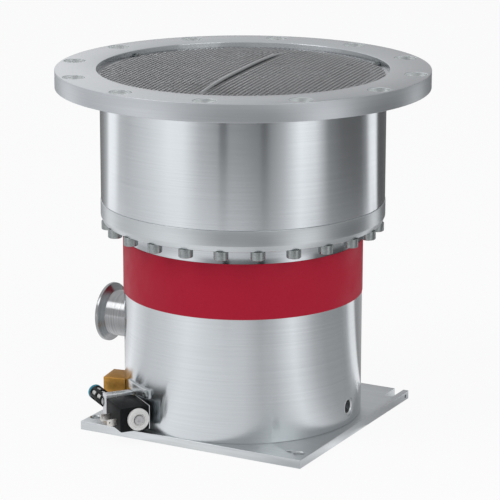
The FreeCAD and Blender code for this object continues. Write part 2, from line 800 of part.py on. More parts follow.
def build():
    pieces = {
        "base_plate": base_plate, "bottom_cover": bottom_cover, "lower_housing": lower_housing,
        "upper_housing": upper_housing, "joint_screws": joint_screws, "label_band": label_band,
        "screen_ring": screen_ring, "inlet_screen": inlet_screen, "screen_rod": screen_rod,
        "screen_clips": screen_clips, "exhaust_port": exhaust_port, "drag_stator": drag_stator,
        "spindle_housing": spindle_housing, "radial_magnets": radial_magnets, "thrust_magnets": thrust_magnets,
        "motor_stator": motor_stator, "touchdown_bearings": touchdown_bearings,
        "side_port_bushing": side_port_bushing, "electrical_connector": electrical_connector,
        "turbine_rotor": turbine_rotor, "drag_drum": drag_drum, "rotor_shaft": rotor_shaft,
        "rotor_clamp_screw": rotor_clamp_screw, "valve_body": valve_body, "core_tube": core_tube,
        "valve_coil": valve_coil, "valve_nut": valve_nut, "valve_plunger": valve_plunger,
        "valve_spring": valve_spring, "coil_terminals": coil_terminals, "muffler_cage": muffler_cage,
        "muffler_element": muffler_element, "muffler_cap": muffler_cap, "vent_nipple": vent_nipple,
        "brass_block": brass_block, "valve_bracket": valve_bracket, "bracket_screw": bracket_screw,
    }
    for name, make in pieces.items():
        save(name, make())
    for index in range(len(stator_row_heights)):
        save("stator_disc_%d" % (index + 1), stator_disc(index))


build()
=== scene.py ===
import math

import bmesh
import bpy
from mathutils import Matrix, Vector


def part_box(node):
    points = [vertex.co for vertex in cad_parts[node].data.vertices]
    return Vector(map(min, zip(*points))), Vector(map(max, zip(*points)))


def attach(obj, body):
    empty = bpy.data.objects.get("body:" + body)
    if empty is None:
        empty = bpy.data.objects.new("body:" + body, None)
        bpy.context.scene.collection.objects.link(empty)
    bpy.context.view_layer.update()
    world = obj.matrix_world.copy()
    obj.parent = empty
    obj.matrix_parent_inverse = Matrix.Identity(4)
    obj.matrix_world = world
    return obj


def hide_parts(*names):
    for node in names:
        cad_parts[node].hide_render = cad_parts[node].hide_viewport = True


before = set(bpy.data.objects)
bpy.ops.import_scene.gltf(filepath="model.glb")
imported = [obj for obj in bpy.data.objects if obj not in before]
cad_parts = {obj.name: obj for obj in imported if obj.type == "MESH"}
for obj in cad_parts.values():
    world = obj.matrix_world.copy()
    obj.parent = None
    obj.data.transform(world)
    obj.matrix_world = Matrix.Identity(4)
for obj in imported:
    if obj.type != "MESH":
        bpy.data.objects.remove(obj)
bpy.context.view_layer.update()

# Sizes are in millimetres, as the CAD has them, and turned into metres by MM where a mesh is made.
MM = 0.001
TURN = 2 * math.pi

# What the CAD boxes say
flange_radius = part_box("upper_housing")[1].x / MM
inlet_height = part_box("upper_housing")[1].z / MM
joint_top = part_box("upper_housing")[0].z / MM
plate_low, plate_high = [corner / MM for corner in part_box("base_plate")]
plate_top = plate_high.z
ring_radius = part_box("lower_housing")[1].x / MM
screw_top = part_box("joint_screws")[1].z / MM
screw_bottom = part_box("joint_screws")[0].z / MM
band_low, band_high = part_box("label_band")[0].z / MM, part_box("label_band")[1].z / MM
band_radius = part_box("label_band")[1].x / MM
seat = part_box("screen_ring")[0].z / MM
screen_ring_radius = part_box("screen_ring")[1].x / MM
exhaust_face = -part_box("exhaust_port")[0].x / MM
exhaust_height = (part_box("exhaust_port")[0].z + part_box("exhaust_port")[1].z) / 2 / MM

# How far a cutting body stands out of what it cuts, where nothing else sets it
past = 1.0

# Housings
upper_radius = 127.8
lower_radius = 108.2
flange_thickness = 16.0
recess_radius = 130.5
throat_radius = 112.0
stack_radius = 116.0
stack_shoulder = 282.5
bore_radius = 98.0
pilot_radius = 45.0
chamber_radius = 92.0
chamber_floor = 20.0
chamber_roof = 102.0
ring_chamfer_width = 2.0
ring_chamfer_height = 5.0
edge_round = 0.5

# Side port
side_height = 24.0
side_radius = 5.9
side_wall = 2.0
side_depth = 13.5
side_face = 0.5
side_flat_radius = 9.0

# Inlet bolts
bolt_circle = 155.0
bolt_count = 12
bolt_phase = 16.5
bolt_hole = 5.5
bolt_mouth = 10.0
bolt_mouth_depth = 5.0
mouth_chamfer = 0.3

# Joint screws
screw_count = 24
screw_phase = 4.5
screw_circle = 121.4
screw_radius = 6.5
socket_flats = 6.0
socket_depth = 4.0
knurl_teeth = 36
knurl_depth = 0.14

# Screen
ring_inner = 124.5
ring_thickness = 0.8
cloth_pitch = 4.2
lower_pitch = 2.8
cloth_wire = 0.7
wire_bends = 20
cloth_radius = 126.3
crown_rise = 1.8
dome_radius = 118.0
rod_angle = 98.0
rod_radius = 1.3
rod_half_width = 2.0
rod_reach = 116.0
rod_drop = 5.4
rod_bends = 48
rod_below_inlet = 0.05
clip_angles = (48.0, 168.0, 288.0)
clip_reach = (126.6, 130.2)
clip_half_width = 3.5
clip_height = 1.4

# Exhaust port
exhaust_bore = 20.0
exhaust_tube = 21.5
exhaust_flange = 27.5
exhaust_recess = 20.6
exhaust_recess_depth = 2.6
exhaust_root = 99.0
exhaust_rim = 3.0
exhaust_cone = 4.0

# Base plate and bottom cover
plate_opening = 58.0
mount_spacing = (207.0, 187.0)
mount_middle = (2.0, 0.5)
mount_hole = 4.5
tap_radius = 2.1
tap_inset = 9.0
edge_hole = 1.65
edge_hole_depth = 8.0
edge_hole_inset = 6.7
cover_radius = 56.0
cover_low = 3.0
cover_high = 8.0
cover_screw_count = 6
cover_screw_circle = 50.0

# Connector at the back
connector_turn = 100.0
connector_height = 62.0
connector_half = 20.0
connector_stand = 3.0
connector_root = 106.34
connector_pocket = 9.1
connector_bore = 14.4
connector_shell = 16.0
pin_count = 7
pin_circle = 9.0

# Valve group, in the valve's own u, v and z
valve_turn = -36.87
coil_u = (2.0, 37.0)
coil_v = (-136.0, -109.0)
coil_z = (12.0, 34.0)
valve_u = (-6.0, 2.0)
valve_top = 37.0
coil_axis = (-119.8, 23.2)
core_radius = 4.3
yoke_thickness = 0.75
muffler_axis = (-131.6, 28.8)
spade_places = (10.0, 26.0)
spade_thickness = 0.8
spade_z = (16.15, 22.45)
spade_reach = 8.7
spade_hole_reach = 6.3
spade_hole = 0.8
brass_corner = (-107.2, -70.0, 0)
brass_turn = 9.5
brass_size = (21.5, 26.0)
brass_z = (14.0, 39.0)
strap_from = 228.0
strap_sweep = 20.4
strap_screw_at = 247.0
strap_thickness = 1.5

# Camera, fitted to the flange circle, the base plate and the band
camera_place = Vector((1031.18, -1903.28, 724.38)) * MM
camera_pitch = 14.710
camera_yaw = 28.281
camera_roll = 0.075
camera_lens = 177.85

# The boards of the studio are placed from this side
front_azimuth = -61.55
board_height = 0.5
near_radius = 118.0
far_radius = 650.0
wall_radius = 3000.0
wall_height = 9000.0
floor_radius = 6000.0
floor_drop = 0.2


# Mesh helpers

def new_object(name, mesh):
    obj = bpy.data.objects.new(name, mesh)
    bpy.context.scene.collection.objects.link(obj)
    return obj


def from_bmesh(name, bm, sharp=35.0):
    """A smooth-shaded object with sharp edges above an angle; the bmesh is in millimetres."""
    bmesh.ops.remove_doubles(bm, verts=bm.verts, dist=5e-4)
    bmesh.ops.recalc_face_normals(bm, faces=bm.faces)
    bmesh.ops.scale(bm, vec=(MM, MM, MM), verts=bm.verts)
    mesh = bpy.data.meshes.new(name)
    bm.to_mesh(mesh)
    bm.free()
    smooth(mesh, sharp)
    return new_object(name, mesh)


def smooth(mesh, sharp=35.0):
    mesh.polygons.foreach_set("use_smooth", [True] * len(mesh.polygons))
    mesh.set_sharp_from_angle(angle=math.radians(sharp))


def rounded(corners, radius):
    """A closed outline with each corner cut by a small arc of three steps."""
    out = []
    count = len(corners)
    for k, corner in enumerate(corners):
        here = Vector(corner)
        before, after = Vector(corners[k - 1]) - here, Vector(corners[(k + 1) % count]) - here
        reach = min(radius, before.length * 0.45, after.length * 0.45)
        if here.x < 1e-6 or reach < 1e-3:
            out.append((here.x, here.y))
            continue
        start, end = here + before.normalized() * reach, here + after.normalized() * reach
        for share in (0.0, 1 / 3, 2 / 3, 1.0):
            point = start * (1 - share) ** 2 + here * 2 * share * (1 - share) + end * share ** 2
            out.append((point.x, point.y))
    return out


def bar(radius, length, round_off=0.3):
    """The outline of a round bar from z = 0."""
    return rounded([(0, 0), (radius, 0), (radius, length), (0, length)], round_off)


def drill(radius, low, high):
    """The outline of a plain round cutter."""
    return [(0, low), (radius, low), (radius, high), (0, high)]


def tube(inner, outer, low, high, round_off=0.3):
    return rounded([(inner, low), (outer, low), (outer, high), (inner, high)], round_off)


def along(start, direction):
    """A placement that puts +Z along a direction from a start point."""
    turn = Vector(direction).normalized().to_track_quat("Z", "Y").to_matrix().to_4x4()
    return Matrix.Translation(Vector(start)) @ turn


def about_z(degrees):
    return Matrix.Rotation(math.radians(degrees), 4, "Z")


def lathe_into(bm, outline, segments=192, place=Matrix.Identity(4), start=0.0, sweep=TURN):
    """A closed (radius, height) outline turned about Z, then put in place."""
    closed = abs(sweep - TURN) < 1e-6
    stops = segments if closed else segments + 1
    rings = []
    for k in range(stops):
        angle = start + sweep * k / segments
        c, s = math.cos(angle), math.sin(angle)
        rings.append([bm.verts.new(place @ Vector((r * c, r * s, z))) for r, z in outline])
    for k in range(segments):
        a, b = rings[k], rings[(k + 1) % stops]
        for j in range(len(outline)):
            i = (j + 1) % len(outline)
            on_axis = outline[j][0] < 1e-6 and outline[i][0] < 1e-6
            if not on_axis:
                bm.faces.new((a[j], b[j], b[i], a[i]))
    if not closed:
        bm.faces.new(rings[0])
        bm.faces.new(list(reversed(rings[-1])))


def lathe(name, outline, segments=192, place=Matrix.Identity(4)):
    bm = bmesh.new()
    lathe_into(bm, outline, segments, place)
    return from_bmesh(name, bm)


def loft_into(bm, loops):
    """A closed body through loops of equally many points, with a face over each end."""
    rings = [[bm.verts.new(point) for point in loop] for loop in loops]
    for a, b in zip(rings, rings[1:]):
        for j in range(len(a)):
            i = (j + 1) % len(a)
            bm.faces.new((a[j], a[i], b[i], b[j]))
    bm.faces.new(rings[0])
    bm.faces.new(rings[-1])


def wire_into(bm, points, half_width, half_height, place, sides=6):
    """A wire of oval section through points that run mainly along X."""
    around = [TURN * i / sides for i in range(sides)]
    section = [Vector((0, half_width * math.cos(t), half_height * math.sin(t))) for t in around]
    loft_into(bm, [[place @ (point + off) for off in section] for point in points])


def block_into(bm, low, high, bevel=0.5, place=Matrix.Identity(4), steps=3):
    """A box between two corners with rounded edges."""
    low, high = Vector(low), Vector(high)
    made = bmesh.ops.create_cube(bm, size=1.0)["verts"]
    for vert in made:
        vert.co = Vector([(lo + hi) / 2 + c * (hi - lo) for c, lo, hi in zip(vert.co, low, high)])
    edges = {edge for vert in made for edge in vert.link_edges}
    done = bmesh.ops.bevel(bm, geom=list(edges), offset=bevel, segments=steps, profile=0.5, affect="EDGES")
    island = {vert for face in done["faces"] for vert in face.verts}
    queue = list(island)
    while queue:
        for edge in queue.pop().link_edges:
            for vert in edge.verts:
                if vert not in island:
                    island.add(vert)
                    queue.append(vert)
    bmesh.ops.transform(bm, matrix=place, verts=list(island))


def block(name, low, high, bevel=0.5, place=Matrix.Identity(4), steps=3):
    bm = bmesh.new()
    block_into(bm, low, high, bevel, place, steps)
    return from_bmesh(name, bm)


def hole_into(bm, radius, depth, place, mouth, segments=48):
    """A round hole down -Z from a face at z = 0, with a small chamfer at its mouth."""
    lathe_into(bm, [(0, -depth), (radius, -depth), (radius, -mouth), (radius + mouth, 0),
                    (radius + mouth, past), (0, past)], segments, place)


def cut(obj, bm):
    """Takes the closed shapes in a bmesh (millimetres) out of an object. They mustn't overlap each other."""
    bmesh.ops.recalc_face_normals(bm, faces=bm.faces)
    bmesh.ops.scale(bm, vec=(MM, MM, MM), verts=bm.verts)
    mesh = bpy.data.meshes.new("cutter")
    bm.to_mesh(mesh)
    bm.free()
    cutter = new_object("cutter", mesh)
    change = obj.modifiers.new("cut", "BOOLEAN")
    change.operation = "DIFFERENCE"
    change.solver = "EXACT"
    change.object = cutter
    graph = bpy.context.evaluated_depsgraph_get()
    result = bpy.data.meshes.new_from_object(obj.evaluated_get(graph))
    obj.modifiers.clear()
    obj.data = result
    bpy.data.objects.remove(cutter)
    smooth(result)


def cut_one(obj, outline, segments, place=Matrix.Identity(4)):
    """Takes one turned shape out of an object."""
    bm = bmesh.new()
    lathe_into(bm, outline, segments, place)
    cut(obj, bm)


# Materials

def node(tree, kind, **values):
    made = tree.nodes.new(kind)
    for key, value in values.items():
        setattr(made, key, value)
    return made


def material(name, base, rough, metal, **sockets):
    """A principled material with its node tree and shader."""
    made = bpy.data.materials.new(name)
    made.use_nodes = True
    shader = made.node_tree.nodes["Principled BSDF"]
    shader.inputs["Base Color"].default_value = (*base, 1)
    shader.inputs["Roughness"].default_value = rough
    shader.inputs["Metallic"].default_value = metal
    for socket, value in sockets.items():
        shader.inputs[socket.replace("_", " ")].default_value = value
    return made, made.node_tree, shader


def noise_of(tree, vector, detail):
    noise = node(tree, "ShaderNodeTexNoise")
    noise.inputs["Scale"].default_value = 1.0
    noise.inputs["Detail"].default_value = detail
    tree.links.new(vector, noise.inputs["Vector"])
    return noise.outputs["Fac"]


def scaled_noise(tree, scale, detail=3.0):
    """Noise in object coordinates, stretched by a scale for each axis."""
    place = node(tree, "ShaderNodeTexCoord")
    mapping = node(tree, "ShaderNodeMapping")
    mapping.inputs["Scale"].default_value = scale
    tree.links.new(place.outputs["Object"], mapping.inputs["Vector"])
    return noise_of(tree, mapping.outputs["Vector"], detail)


def turned_noise(tree, rings, drift):
    """Noise in rings round the pump's axis: so many per metre of height or radius, with a drift across."""
    place = node(tree, "ShaderNodeTexCoord")
    split = node(tree, "ShaderNodeSeparateXYZ")
    tree.links.new(place.outputs["Object"], split.inputs["Vector"])
    flat = node(tree, "ShaderNodeCombineXYZ")
    tree.links.new(split.outputs["X"], flat.inputs["X"])
    tree.links.new(split.outputs["Y"], flat.inputs["Y"])
    length = node(tree, "ShaderNodeVectorMath", operation="LENGTH")
    tree.links.new(flat.outputs["Vector"], length.inputs[0])
    joined = node(tree, "ShaderNodeCombineXYZ")
    tree.links.new(length.outputs["Value"], joined.inputs["X"])
    tree.links.new(split.outputs["Z"], joined.inputs["Y"])
    total = node(tree, "ShaderNodeVectorMath", operation="ADD")
    for index, (source, scale) in enumerate(((joined, rings), (flat, drift))):
        stretched = node(tree, "ShaderNodeVectorMath", operation="SCALE")
        stretched.inputs["Scale"].default_value = scale
        tree.links.new(source.outputs["Vector"], stretched.inputs[0])
        tree.links.new(stretched.outputs["Vector"], total.inputs[index])
    return noise_of(tree, total.outputs["Vector"], 2.0)


def tint(tree, shader, pattern, dark, light):
    """Base colour between two tones, by a grey value."""
    ramp = node(tree, "ShaderNodeValToRGB")
    for element, position, tone in zip(ramp.color_ramp.elements, (0.3, 0.7), (dark, light)):
        element.position = position
        element.color = (*tone, 1)
    tree.links.new(pattern, ramp.inputs["Fac"])
    tree.links.new(ramp.outputs["Color"], shader.inputs["Base Color"])


def cloudy(tree, shader, size, detail, low, high):
    """Roughness that drifts between two values in clouds, so many per metre."""
    cloud = scaled_noise(tree, (size, size, size), detail)
    change = node(tree, "ShaderNodeMapRange")
    for socket, value in (("From Min", 0.3), ("From Max", 0.7), ("To Min", low), ("To Max", high)):
        change.inputs[socket].default_value = value
    tree.links.new(cloud, change.inputs["Value"])
    tree.links.new(change.outputs["Result"], shader.inputs["Roughness"])


def bump(tree, shader, pattern, distance):
    raised = node(tree, "ShaderNodeBump")
    raised.inputs["Distance"].default_value = distance
    raised.inputs["Strength"].default_value = 1.0
    tree.links.new(pattern, raised.inputs["Height"])
    tree.links.new(raised.outputs["Normal"], shader.inputs["Normal"])


def turned_metal(name, dark, light, rough, grain=0.000002, stretch=0.9):
    """Metal turned on a lathe: fine rings round the axis, blurred along it."""
    made, tree, shader = material(name, light, rough, 1.0, Anisotropic=stretch, Anisotropic_Rotation=0.25)
    tangent = node(tree, "ShaderNodeTangent", direction_type="RADIAL", axis="Z")
    tree.links.new(tangent.outputs["Tangent"], shader.inputs["Tangent"])
    rings = turned_noise(tree, 900.0, 12.0)
    tint(tree, shader, rings, dark, light)
    cloudy(tree, shader, 9.0, 3.0, rough * 0.92, rough * 1.08)
    bump(tree, shader, rings, grain)
    return made


def milled_metal(name, dark, light, rough):
    """Plate metal with fine straight milling lines."""
    made, tree, shader = material(name, light, rough, 1.0)
    lines = scaled_noise(tree, (18.0, 1500.0, 400.0), 2.0)
    tint(tree, shader, lines, dark, light)
    cloudy(tree, shader, 14.0, 4.0, rough * 0.8, rough * 1.2)
    bump(tree, shader, lines, 0.00001)
    return made


def plain_metal(name, dark, light, rough):
    """Cast, plated or blasted metal with an even fine texture."""
    made, tree, shader = material(name, light, rough, 1.0)
    grains = scaled_noise(tree, (900.0, 900.0, 900.0))
    tint(tree, shader, grains, dark, light)
    cloudy(tree, shader, 30.0, 3.0, rough * 0.8, rough * 1.25)
    bump(tree, shader, grains, 0.00001)
    return made


def plastic(name, dark, light, rough, size=700.0, grain=0.00002, gloss=0.5):
    """Moulded plastic with a slightly uneven skin."""
    made, tree, shader = material(name, light, rough, 0.0, Specular_IOR_Level=gloss)
    grains = scaled_noise(tree, (size, size, size))
    tint(tree, shader, grains, dark, light)
    cloudy(tree, shader, 40.0, 3.0, rough * 0.85, rough * 1.2)
    bump(tree, shader, grains, grain)
    return made


def exhaust_metal():
    """Turned stainless with its rings round the exhaust's own axis."""
    made, tree, shader = material("turned_exhaust", (0.36, 0.365, 0.37), 0.22, 1.0,
                                  Anisotropic=0.6, Anisotropic_Rotation=0.25)
    tangent = node(tree, "ShaderNodeTangent", direction_type="RADIAL", axis="X")
    tree.links.new(tangent.outputs["Tangent"], shader.inputs["Tangent"])
    rings = scaled_noise(tree, (2600.0, 30.0, 30.0), 2.0)
    tint(tree, shader, rings, (0.26, 0.265, 0.27), (0.38, 0.385, 0.39))
    bump(tree, shader, rings, 0.00001)
    return made


housing_metal = turned_metal("turned_aluminium", (0.555, 0.585, 0.60), (0.59, 0.62, 0.635), 0.19, 0.0000012)
ring_metal = turned_metal("turned_ring", (0.51, 0.54, 0.55), (0.55, 0.58, 0.59), 0.34, stretch=0.3)
rim_metal = turned_metal("turned_rim", (0.48, 0.505, 0.52), (0.52, 0.545, 0.56), 0.42, stretch=0.3)
# Darker than the housing's aluminium: painted shade on the wall between the red band and the joint ring,
# behind the screws.
shaded_neck_metal = turned_metal("turned_neck_painted_shade", (0.46, 0.485, 0.50), (0.50, 0.525, 0.54), 0.09, stretch=0.3)
# Rough plain metal for the walls of the bolt counterbores: the rough finish is real, the much lighter colour
# than the housing's aluminium is painted light.
lit_mouth_metal = plain_metal("milled_mouth_painted_light", (0.80, 0.82, 0.82), (0.88, 0.90, 0.90), 0.40)
plate_metal = milled_metal("milled_aluminium", (0.55, 0.575, 0.585), (0.64, 0.665, 0.675), 0.38)
inner_metal = plain_metal("machined_aluminium", (0.34, 0.34, 0.36), (0.42, 0.42, 0.44), 0.42)
stainless = turned_metal("turned_stainless", (0.36, 0.36, 0.37), (0.46, 0.46, 0.47), 0.22)
screw_metal = plain_metal("screw_steel", (0.23, 0.25, 0.25), (0.33, 0.355, 0.355), 0.28)
wire_metal = plain_metal("wire_steel", (0.31, 0.315, 0.32), (0.41, 0.415, 0.42), 0.30)
rod_metal = plain_metal("spring_steel", (0.38, 0.40, 0.40), (0.46, 0.48, 0.48), 0.24)
magnet_metal = plain_metal("ground_steel", (0.28, 0.28, 0.30), (0.36, 0.36, 0.38), 0.35)
connector_metal = plain_metal("dark_anodised", (0.05, 0.05, 0.055), (0.08, 0.08, 0.085), 0.40)
valve_metal = plain_metal("nickel_plate", (0.57, 0.59, 0.60), (0.68, 0.70, 0.71), 0.26)
brass_metal = milled_metal("machined_brass", (0.50, 0.26, 0.060), (0.64, 0.34, 0.085), 0.50)
red_film = plastic("red_film", (0.425, 0.006, 0.028), (0.445, 0.008, 0.032), 0.50, 500.0, 0.000004, gloss=0.2)
black_plastic = plastic("black_plastic", (0.006, 0.007, 0.007), (0.011, 0.012, 0.013), 0.45, gloss=0.07)
white_plastic = plastic("white_plastic", (0.72, 0.72, 0.70), (0.80, 0.80, 0.78), 0.40)
white_felt = plastic("white_element", (0.66, 0.66, 0.64), (0.80, 0.80, 0.78), 0.80, 1600.0, 0.00008)
blue_plastic = plastic("blue_plastic", (0.004, 0.20, 0.30), (0.006, 0.27, 0.38), 0.45, gloss=0.3)
tin_plate = plain_metal("tin_plate", (0.58, 0.57, 0.54), (0.68, 0.67, 0.64), 0.30)


def dress(obj, paint, nodes=(), body="pump"):
    """A new piece: its material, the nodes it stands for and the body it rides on."""
    obj.data.materials.clear()
    obj.data.materials.append(paint)
    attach(obj, body)
    if nodes:
        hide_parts(*nodes)


def paint_faces_by_place(obj, paint, chosen):
    """Another material for the faces that a test of radius and height picks: a finish of their own, painted
    shade or painted light.
    """
    obj.data.materials.append(paint)
    index = len(obj.data.materials) - 1
    for face in obj.data.polygons:
        if chosen(face.center.xy.length / MM, face.center.z / MM):
            face.material_index = index


def repaint(name, paint):
    """A CAD node that stays, with a better material."""
    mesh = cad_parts[name].data
    mesh.materials.clear()
    mesh.materials.append(paint)


# Housings

def upper_housing():
    under_flange = inlet_height - flange_thickness
    outline = [
        (stack_radius, joint_top), (upper_radius, joint_top), (upper_radius, under_flange),
        (flange_radius, under_flange), (flange_radius, inlet_height), (recess_radius, inlet_height),
        (recess_radius, seat), (throat_radius, seat), (throat_radius, stack_shoulder),
        (stack_radius, stack_shoulder)]
    housing = lathe("upper_housing_turned", rounded(outline, edge_round), 256)
    hole = [
        (0, -flange_thickness - past), (bolt_hole, -flange_thickness - past), (bolt_hole, -bolt_mouth_depth),
        (bolt_mouth, -bolt_mouth_depth), (bolt_mouth, -mouth_chamfer), (bolt_mouth + mouth_chamfer, 0),
        (bolt_mouth + mouth_chamfer, past), (0, past)]
    bm = bmesh.new()
    for k in range(bolt_count):
        angle = bolt_phase + 360.0 * k / bolt_count
        lathe_into(bm, hole, 64, about_z(angle) @ Matrix.Translation((bolt_circle, 0, inlet_height)))
    cut(housing, bm)
    dress(housing, housing_metal, ["upper_housing"])
    mouth_floor, mouth_edge = inlet_height - bolt_mouth_depth - 0.1, inlet_height - 0.5
    paint_faces_by_place(housing, rim_metal, lambda radius, height: radius > flange_radius - 1.0)
    # Painted light: the counterbore walls get a much lighter metal than the housing.
    paint_faces_by_place(housing, lit_mouth_metal, lambda radius, height: (
        abs(radius - bolt_circle) < bolt_mouth + 0.5 and mouth_floor < height < mouth_edge))


def lower_housing():
    outline = [
        (pilot_radius, plate_top), (lower_radius, plate_top), (lower_radius, band_high),
        (lower_radius, screw_top), (ring_radius - ring_chamfer_width, screw_top),
        (ring_radius, screw_top + ring_chamfer_height), (ring_radius, joint_top),
        (bore_radius, joint_top), (bore_radius, chamber_roof), (chamber_radius, chamber_roof),
        (chamber_radius, chamber_floor), (pilot_radius, chamber_floor)]
    housing = lathe("lower_housing_turned", rounded(outline, edge_round), 256)
    bushing = side_radius + side_wall
    cut_one(housing, [(0, -side_depth), (bushing, -side_depth), (bushing, 0), (side_flat_radius, 0),
                      (side_flat_radius, 4), (0, 4)], 64, side_place())
    bm = bmesh.new()
    port = along((-chamber_radius + 10, 0, exhaust_height), (-1, 0, 0))
    lathe_into(bm, drill(exhaust_tube, 0, 60), 96, port)
    lathe_into(bm, drill(connector_shell + 0.1, 0, 30), 64, connector_place(-connector_pocket))
    cut(housing, bm)
    dress(housing, housing_metal, ["lower_housing"])
    paint_faces_by_place(housing, ring_metal, lambda radius, height: (
        height > screw_top - 1.0 and radius > lower_radius + 1.0))
    # Painted shade: the wall between the red band and the joint ring takes a darker copy of the housing's
    # metal.
    paint_faces_by_place(housing, shaded_neck_metal, lambda radius, height: (
        height > band_high and abs(radius - lower_radius) < 1.0))


def side_place():
    """The middle of the side port's flat, looking out."""
    return along((lower_radius - side_face, 0, side_height), (1, 0, 0))


def side_bushing():
    """Bushing of the side port with a chamfered mouth. It takes the valve's light nickel metal so that its
    bore, which lies in shade, shows lighter: painted light.
    """
    outer = side_radius + side_wall
    outline = [(side_radius, -side_depth), (outer, -side_depth), (outer, -0.3), (outer - 0.3, 0),
               (side_radius + 0.9, 0), (side_radius, -0.9)]
    ring = lathe("side_port_turned", outline, 64, side_place())
    dress(ring, valve_metal, ["side_port_bushing"])


def red_band():
    band = lathe("red_band", tube(lower_radius, band_radius, band_low, band_high, 0.15), 256)
    dress(band, red_film, ["label_band"])


# Joint screws

def joint_screws():
    """Cap heads under the joint ring with knurled sides and a hexagon socket."""
    bm = bmesh.new()
    for k in range(screw_count):
        angle = screw_phase + 360.0 * k / screw_count
        knurl_head_into(bm, about_z(angle) @ Matrix.Translation((screw_circle, 0, screw_bottom)))
    screws = from_bmesh("joint_screw_heads", bm, 30.0)
    dress(screws, screw_metal, ["joint_screws"])


def knurl_head_into(bm, place):
    """One cap head from z = 0 up, its socket open downwards."""
    height, grip, count = screw_top - screw_bottom, screw_radius - 0.12, knurl_teeth * 2
    levels = ((0.0, screw_radius - 0.9), (0.35, screw_radius - 0.35), (0.9, grip),
              (height - 1.0, grip), (height - 0.4, grip), (height, screw_radius - 0.5))
    rings = []
    for index, (z, radius) in enumerate(levels):
        ring = []
        for j in range(count):
            r = radius - (knurl_depth if j % 2 and index in (2, 3) else 0.0)
            ring.append(bm.verts.new(place @ on_circle(r, TURN * j / count, z)))
        rings.append(ring)
    for low, high in zip(rings, rings[1:]):
        for j in range(count):
            i = (j + 1) % count
            bm.faces.new((low[j], low[i], high[i], high[j]))
    bm.faces.new(rings[-1])
    corner = socket_flats / math.sqrt(3)
    mouth, floor_of_socket = [[bm.verts.new(place @ on_circle(corner, TURN * h / 6, z)) for h in range(6)]
                              for z in (0.0, socket_depth)]
    per_side = count // 6
    for h in range(6):
        g = (h + 1) % 6
        bm.faces.new((mouth[h], mouth[g], floor_of_socket[g], floor_of_socket[h]))
        arc = [rings[0][(h * per_side + j) % count] for j in range(per_side + 1)]
        bm.faces.new([mouth[g], mouth[h]] + arc)
    bm.faces.new(floor_of_socket)


def on_circle(radius, angle, z):
    return Vector((radius * math.cos(angle), radius * math.sin(angle), z))


# Screen

def dome(distance):
    return crown_rise * max(0.0, 1 - (distance / dome_radius) ** 2)


def screen_cloth():
    """Wire cloth with a low dome: a layer of wires along the rod, welded on a crossing one."""
    bm = bmesh.new()
    base = seat + ring_thickness
    layers = ((1, lower_pitch, base + cloth_wire / 2), (0, cloth_pitch, base + cloth_wire * 1.45))
    for way, pitch, level in layers:
        place = about_z(rod_angle + 90.0 * way)
        steps = int((cloth_radius - 1.0) / pitch)
        for k in range(-steps, steps + 1):
            offset = k * pitch
            half = math.sqrt(cloth_radius ** 2 - offset ** 2)
            points = []
            for j in range(wire_bends + 1):
                x = half * (2 * j / wire_bends - 1)
                points.append(Vector((x, offset, level + dome(math.hypot(x, offset)))))
            wire_into(bm, points, cloth_wire / 2, cloth_wire / 2, place)
    cloth = from_bmesh("screen_cloth", bm, 60.0)
    dress(cloth, wire_metal, ["inlet_screen"])


def screen_ring():
    top = seat + ring_thickness
    ring = lathe("screen_ring_turned", tube(ring_inner, screen_ring_radius, seat, top, 0.2), 256)
    dress(ring, stainless, ["screen_ring"])


def screen_rod():
    """Rod over the cloth, bowed so that its ends dip into it."""
    crest = inlet_height - rod_below_inlet - rod_radius
    points = []
    for j in range(rod_bends + 1):
        x = -rod_reach + 2 * rod_reach * j / rod_bends
        points.append(Vector((x, 0, crest - rod_drop * abs(x / rod_reach) ** 3)))
    bm = bmesh.new()
    wire_into(bm, points, rod_half_width, rod_radius, about_z(rod_angle), 16)
    rod = from_bmesh("screen_rod_bent", bm, 60.0)
    dress(rod, rod_metal, ["screen_rod"])


def screen_clips():
    """Clamping lugs on the screen's ring, each with a slotted screw."""
    top = seat + ring_thickness
    bm = bmesh.new()
    for angle in clip_angles:
        place = about_z(angle)
        low = (clip_reach[0], -clip_half_width, top)
        high = (clip_reach[1], clip_half_width, top + clip_height)
        block_into(bm, low, high, 0.3, place)
        middle = sum(clip_reach) / 2
        slotted_head_into(bm, 1.7, 1.6, place @ Matrix.Translation((middle, 0, top + clip_height)))
    clips = from_bmesh("screen_lugs", bm)
    dress(clips, screw_metal, ["screen_clips"])


def slotted_head_into(bm, radius, height, place):
    """A cheese head with a straight slot, made of two half rounds on a disc that is the slot's floor."""
    slot = radius * 0.18
    lathe_into(bm, bar(radius, height * 0.55, radius * 0.08), 32, place)
    limit = math.asin(slot / radius)
    angles = [limit - math.pi / 2 + (math.pi - 2 * limit) * j / 16 for j in range(17)]
    edge = [(radius * math.sin(angle), radius * math.cos(angle)) for angle in angles]
    for side in (0, 1):
        half = place @ about_z(180.0 * side)
        low = [half @ Vector((x, y, height * 0.5)) for x, y in edge]
        high = [half @ Vector((x * 0.92, slot + (y - slot) * 0.92, height)) for x, y in edge]
        loft_into(bm, (low, high))


# Exhaust port and base plate

def exhaust():
    """Stub with the clamp flange, its cone towards the housing and the recess of its face."""
    stub_radius, recess_floor = exhaust_tube - 0.05, exhaust_face - exhaust_recess_depth
    outline = [
        (exhaust_bore, exhaust_root), (stub_radius, exhaust_root),
        (stub_radius, exhaust_face - exhaust_rim - exhaust_cone),
        (exhaust_flange, exhaust_face - exhaust_rim), (exhaust_flange, exhaust_face),
        (exhaust_recess, exhaust_face), (exhaust_recess, recess_floor), (exhaust_bore, recess_floor)]
    stub = lathe("exhaust_stub", rounded(outline, 0.35), 128, along((0, 0, exhaust_height), (-1, 0, 0)))
    dress(stub, exhaust_metal(), ["exhaust_port"])


